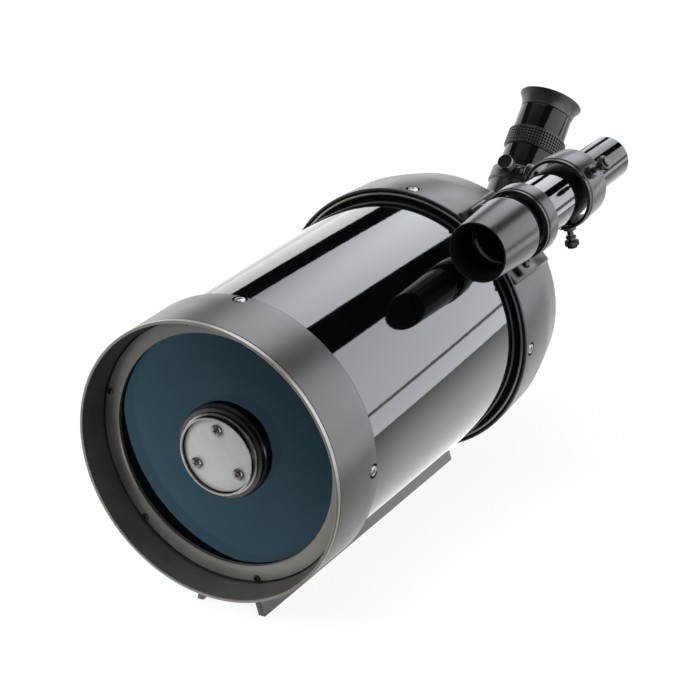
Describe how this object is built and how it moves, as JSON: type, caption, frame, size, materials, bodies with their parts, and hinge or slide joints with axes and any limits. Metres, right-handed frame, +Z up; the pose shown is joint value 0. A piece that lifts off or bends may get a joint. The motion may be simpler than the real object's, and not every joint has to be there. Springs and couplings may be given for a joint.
{
  "type": "schmidt cassegrain telescope",
  "caption": "Short closed telescope tube with a glass corrector and central secondary, on a dovetail bar, with a finder on a bracket, a star diagonal and an eyepiece.",
  "frame": {"origin": "middle of the mounting bar's underside, on its solid middle part", "axes": "+Y along the optical axis from the front of the tube to the rear, +Z up, +X to the finder's side"},
  "size_m": [0.184, 0.4036, 0.1885],
  "materials": {
    "tube_paint": "gloss black paint",
    "front_paint": "matte dark grey paint",
    "casting_paint": "satin dark grey paint",
    "bar_black": "satin black anodised",
    "black_metal": "black anodised",
    "bare_metal": "machined",
    "matte_black": "matte black",
    "housing_black": "gloss black",
    "silver_plate": "grained silver paint",
    "screw_steel": "dark plated",
    "rubber": "moulded rubber",
    "coated_glass": "coated glass",
    "mirror": "front-coated mirror"
  },
  "bodies": {
    "tube": {"corrector_plate": "coated_glass", "corrector_retaining_ring": "front_paint", "dovetail_bar": "bar_black", "dovetail_screw_front": "screw_steel", "dovetail_screw_rear": "screw_steel", "finder_bracket": "casting_paint", "finder_bracket_screw_a": "screw_steel", "finder_bracket_screw_b": "screw_steel", "finder_spring_plunger": "screw_steel", "focus_collar": "casting_paint", "front_cell": "front_paint", "front_cell_screw_a": "screw_steel", "front_cell_screw_b": "screw_steel", "front_cell_screw_c": "screw_steel", "optical_tube": "tube_paint", "primary_baffle_tube": "black_metal", "rear_cell": "casting_paint", "rear_cell_screw_a": "screw_steel", "rear_cell_screw_b": "screw_steel", "rear_cell_screw_c": "screw_steel", "secondary_backplate": "bare_metal", "secondary_baffle": "matte_black", "secondary_cover_plate": "silver_plate", "secondary_holder": "matte_black", "secondary_mirror": "mirror", "visual_back": "black_metal"},
    "finder_o_ring": {"finder_o_ring": "rubber"},
    "finder": {"finder_tube": "tube_paint", "finder_eyepiece": "tube_paint", "finder_eye_lens": "coated_glass"},
    "finder_objective": {"finder_objective_cell": "front_paint", "finder_objective_lens": "coated_glass"},
    "finder_lock_ring": {"finder_lock_ring": "black_metal"},
    "finder_thumbscrew_a": {"finder_thumbscrew_a": "black_metal"},
    "finder_thumbscrew_b": {"finder_thumbscrew_b": "black_metal"},
    "mirror": {"primary_mirror": "mirror", "mirror_carrier": "bare_metal", "mirror_lock_ring": "black_metal", "focus_rod": "screw_steel"},
    "focus_knob": {"focus_knob": "rubber"},
    "visual_back_ring": {"visual_back_ring": "black_metal"},
    "visual_back_thumbscrew": {"visual_back_thumbscrew": "black_metal"},
    "diagonal": {"diagonal_nosepiece": "bare_metal", "diagonal_housing": "housing_black", "diagonal_side_cover": "housing_black", "diagonal_prism": "coated_glass", "diagonal_eyepiece_holder": "black_metal", "diagonal_set_screw": "screw_steel"},
    "diagonal_thumbscrew": {"diagonal_thumbscrew": "black_metal"},
    "eyepiece": {"eyepiece_barrel": "bare_metal", "eyepiece_body": "tube_paint", "eyepiece_grip": "rubber", "eyecup": "rubber", "eyepiece_field_lens": "coated_glass", "eyepiece_eye_lens": "coated_glass"},
    "collimation_screw_a": {"collimation_screw_a": "screw_steel"},
    "collimation_screw_b": {"collimation_screw_b": "screw_steel"},
    "collimation_screw_c": {"collimation_screw_c": "screw_steel"}
  },
  "joints": [
    {"name": "focus_turn", "type": "hinge", "parent": "tube", "child": "focus_knob", "pos_m": [-0.03161, 0.17, 0.07285], "axis": [0, 1, 0], "range_deg": [-3600, 3600]},
    {"name": "mirror_slide", "type": "slide", "parent": "tube", "child": "mirror", "axis": [0, 1, 0], "range_m": [-0.0075, 0.0075]},
    {"name": "diagonal_turn", "type": "hinge", "parent": "tube", "child": "diagonal", "pos_m": [0, 0.2013, 0.0911], "axis": [0, 1, 0], "continuous": true},
    {"name": "eyepiece_slide", "type": "slide", "parent": "diagonal", "child": "eyepiece", "axis": [0, 0.7071, 0.7071], "range_m": [0, 0.022]},
    {"name": "diagonal_screw_turn", "type": "hinge", "parent": "diagonal", "child": "diagonal_thumbscrew", "pos_m": [0, 0.23347, 0.12327], "axis": [0, -0.7071, 0.7071], "range_deg": [0, 1080]},
    {"name": "visual_back_screw_turn", "type": "hinge", "parent": "tube", "child": "visual_back_thumbscrew", "pos_m": [0, 0.1707, 0.0911], "axis": [0.766, 0, -0.6428], "range_deg": [0, 1080]},
    {"name": "visual_back_ring_turn", "type": "hinge", "parent": "tube", "child": "visual_back_ring", "pos_m": [0, 0.155, 0.0911], "axis": [0, 1, 0], "range_deg": [0, 720]},
    {"name": "finder_tilt_a", "type": "hinge", "parent": "tube", "child": "finder_o_ring", "pos_m": [0.07513, 0.0802, 0.16416], "axis": [0.1599, 0, -0.9871], "range_deg": [-1, 1], "deforming": ["finder_spring_plunger"]},
    {"name": "finder_tilt_b", "type": "hinge", "parent": "finder_o_ring", "child": "finder", "pos_m": [0.07513, 0.0802, 0.16416], "axis": [0.7749, 0, 0.632], "range_deg": [-1, 1], "deforming": ["finder_spring_plunger"]},
    {"name": "finder_screw_a_slide", "type": "slide", "parent": "tube", "child": "finder_thumbscrew_a", "axis": [0.7749, 0, 0.632], "range_m": [-0.0009, 0.0009]},
    {"name": "finder_screw_b_slide", "type": "slide", "parent": "tube", "child": "finder_thumbscrew_b", "axis": [0.1599, 0, -0.9871], "range_m": [-0.0009, 0.0009]},
    {"name": "finder_objective_turn", "type": "hinge", "parent": "finder", "child": "finder_objective", "pos_m": [0.07513, 0.0802, 0.16416], "axis": [0, 1, 0], "range_deg": [0, 720]},
    {"name": "finder_lock_ring_turn", "type": "hinge", "parent": "finder", "child": "finder_lock_ring", "pos_m": [0.07513, 0.0802, 0.16416], "axis": [0, 1, 0], "range_deg": [0, 360]},
    {"name": "collimation_screw_a_turn", "type": "hinge", "parent": "tube", "child": "collimation_screw_a", "pos_m": [0.00051, -0.1083, 0.10559], "axis": [0, -1, 0], "range_deg": [-360, 360]},
    {"name": "collimation_screw_b_turn", "type": "hinge", "parent": "tube", "child": "collimation_screw_b", "pos_m": [0.0123, -0.1083, 0.08342], "axis": [0, -1, 0], "range_deg": [-360, 360]},
    {"name": "collimation_screw_c_turn", "type": "hinge", "parent": "tube", "child": "collimation_screw_c", "pos_m": [-0.0128, -0.1083, 0.08429], "axis": [0, -1, 0], "range_deg": [-360, 360]}
  ],
  "couplings": [
    {"joint": "focus_turn", "follows": "mirror_slide", "rad_per_m": -8377.6},
    {"joint": "finder_screw_a_slide", "follows": "finder_tilt_a", "m_per_rad": 0.05023},
    {"joint": "finder_screw_b_slide", "follows": "finder_tilt_b", "m_per_rad": -0.05023}
  ]
}
